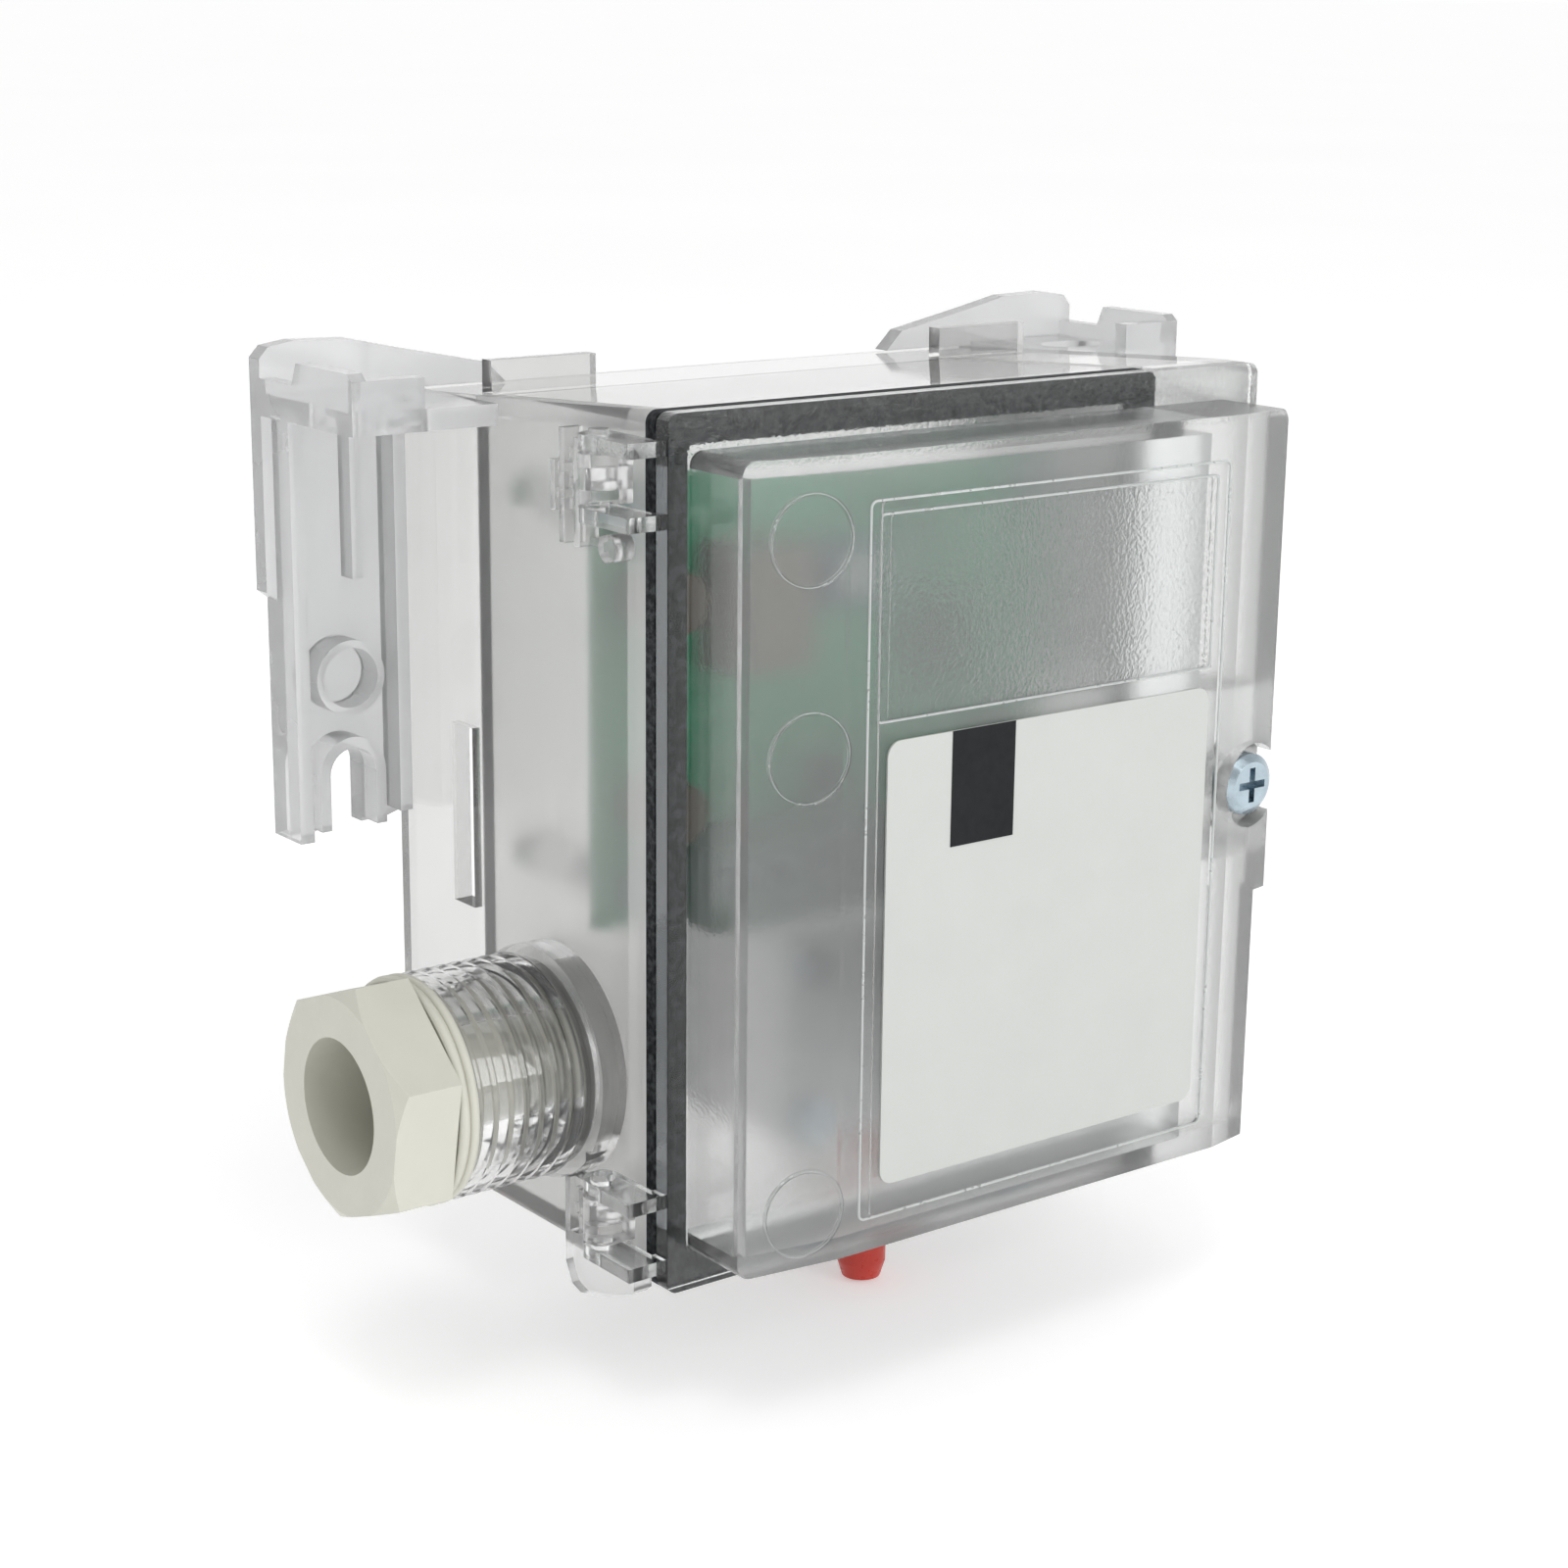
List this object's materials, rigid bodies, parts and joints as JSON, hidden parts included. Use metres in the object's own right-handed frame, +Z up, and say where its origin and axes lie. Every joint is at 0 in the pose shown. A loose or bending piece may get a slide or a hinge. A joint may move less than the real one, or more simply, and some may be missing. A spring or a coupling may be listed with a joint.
{
  "type": "differential pressure transmitter",
  "caption": "Wall or ceiling mounted differential pressure transmitter in a clear plastic case with a hinged cover, side cable gland and hose nozzles below.",
  "frame": {"origin": "on the wall face, middle of the upper bar of the rear frame", "axes": "+X to the right seen from the front, +Y back into the wall, +Z up"},
  "size_m": [0.1321, 0.0661, 0.1142],
  "materials": {
    "clear_case": "clear, glossy",
    "clear_cover": "clear with a fine grain",
    "black_rubber": "matt, fine pores",
    "white_film": "satin",
    "dark_print": "satin",
    "zinc": "bluish zinc plate",
    "grey_plastic": "satin moulding",
    "red_plastic": "glossy",
    "cell_metal": "satin",
    "board_green": "lacquered board",
    "black_plastic": "satin",
    "terminal_grey": "satin",
    "brown_body": "satin",
    "blue_plastic": "glossy"
  },
  "bodies": {
    "case": {"housing": "clear_case", "cover_gasket": "black_rubber", "gland_ring": "grey_plastic", "gland_seal": "black_rubber", "port_high": "red_plastic", "port_low": "clear_case", "cell_body": "cell_metal", "cell_cap": "cell_metal", "cell_screws": "zinc", "cell_pad": "black_rubber", "cell_plug": "white_film", "board": "board_green", "board_screws": "zinc", "terminal_block": "terminal_grey", "terminal_screws": "zinc", "main_chip": "black_plastic", "small_chips": "black_plastic", "capacitors": "brown_body", "relay": "brown_body", "trimmer_body": "blue_plastic", "gland_socket": "clear_case", "ears": "clear_case", "hinge_blocks": "clear_case", "board_posts": "clear_case"},
    "cover_group": {"cover": "clear_cover", "label": "white_film", "label_field": "dark_print"},
    "screw": {"cover_screw": "zinc"},
    "nut": {"gland_nut": "grey_plastic"},
    "rotor": {"trimmer_rotor": "white_film"}
  },
  "joints": [
    {"name": "cover_hinge", "type": "hinge", "parent": "case", "child": "cover_group", "pos_m": [-0.0455, -0.047, -0.044], "axis": [0, 0, -1], "range_deg": [0, 100]},
    {"name": "cover_screw_turn", "type": "hinge", "parent": "cover_group", "child": "screw", "pos_m": [0.035, -0.0623, -0.0439], "axis": [0, -1, 0], "continuous": true},
    {"name": "gland_turn", "type": "hinge", "parent": "case", "child": "nut", "pos_m": [-0.0627, -0.0343, -0.0705], "axis": [-1, 0, 0], "continuous": true},
    {"name": "trimmer_turn", "type": "hinge", "parent": "case", "child": "rotor", "pos_m": [-0.0092, -0.0435, -0.017], "axis": [0, -1, 0], "range_deg": [-135, 135]}
  ]
}
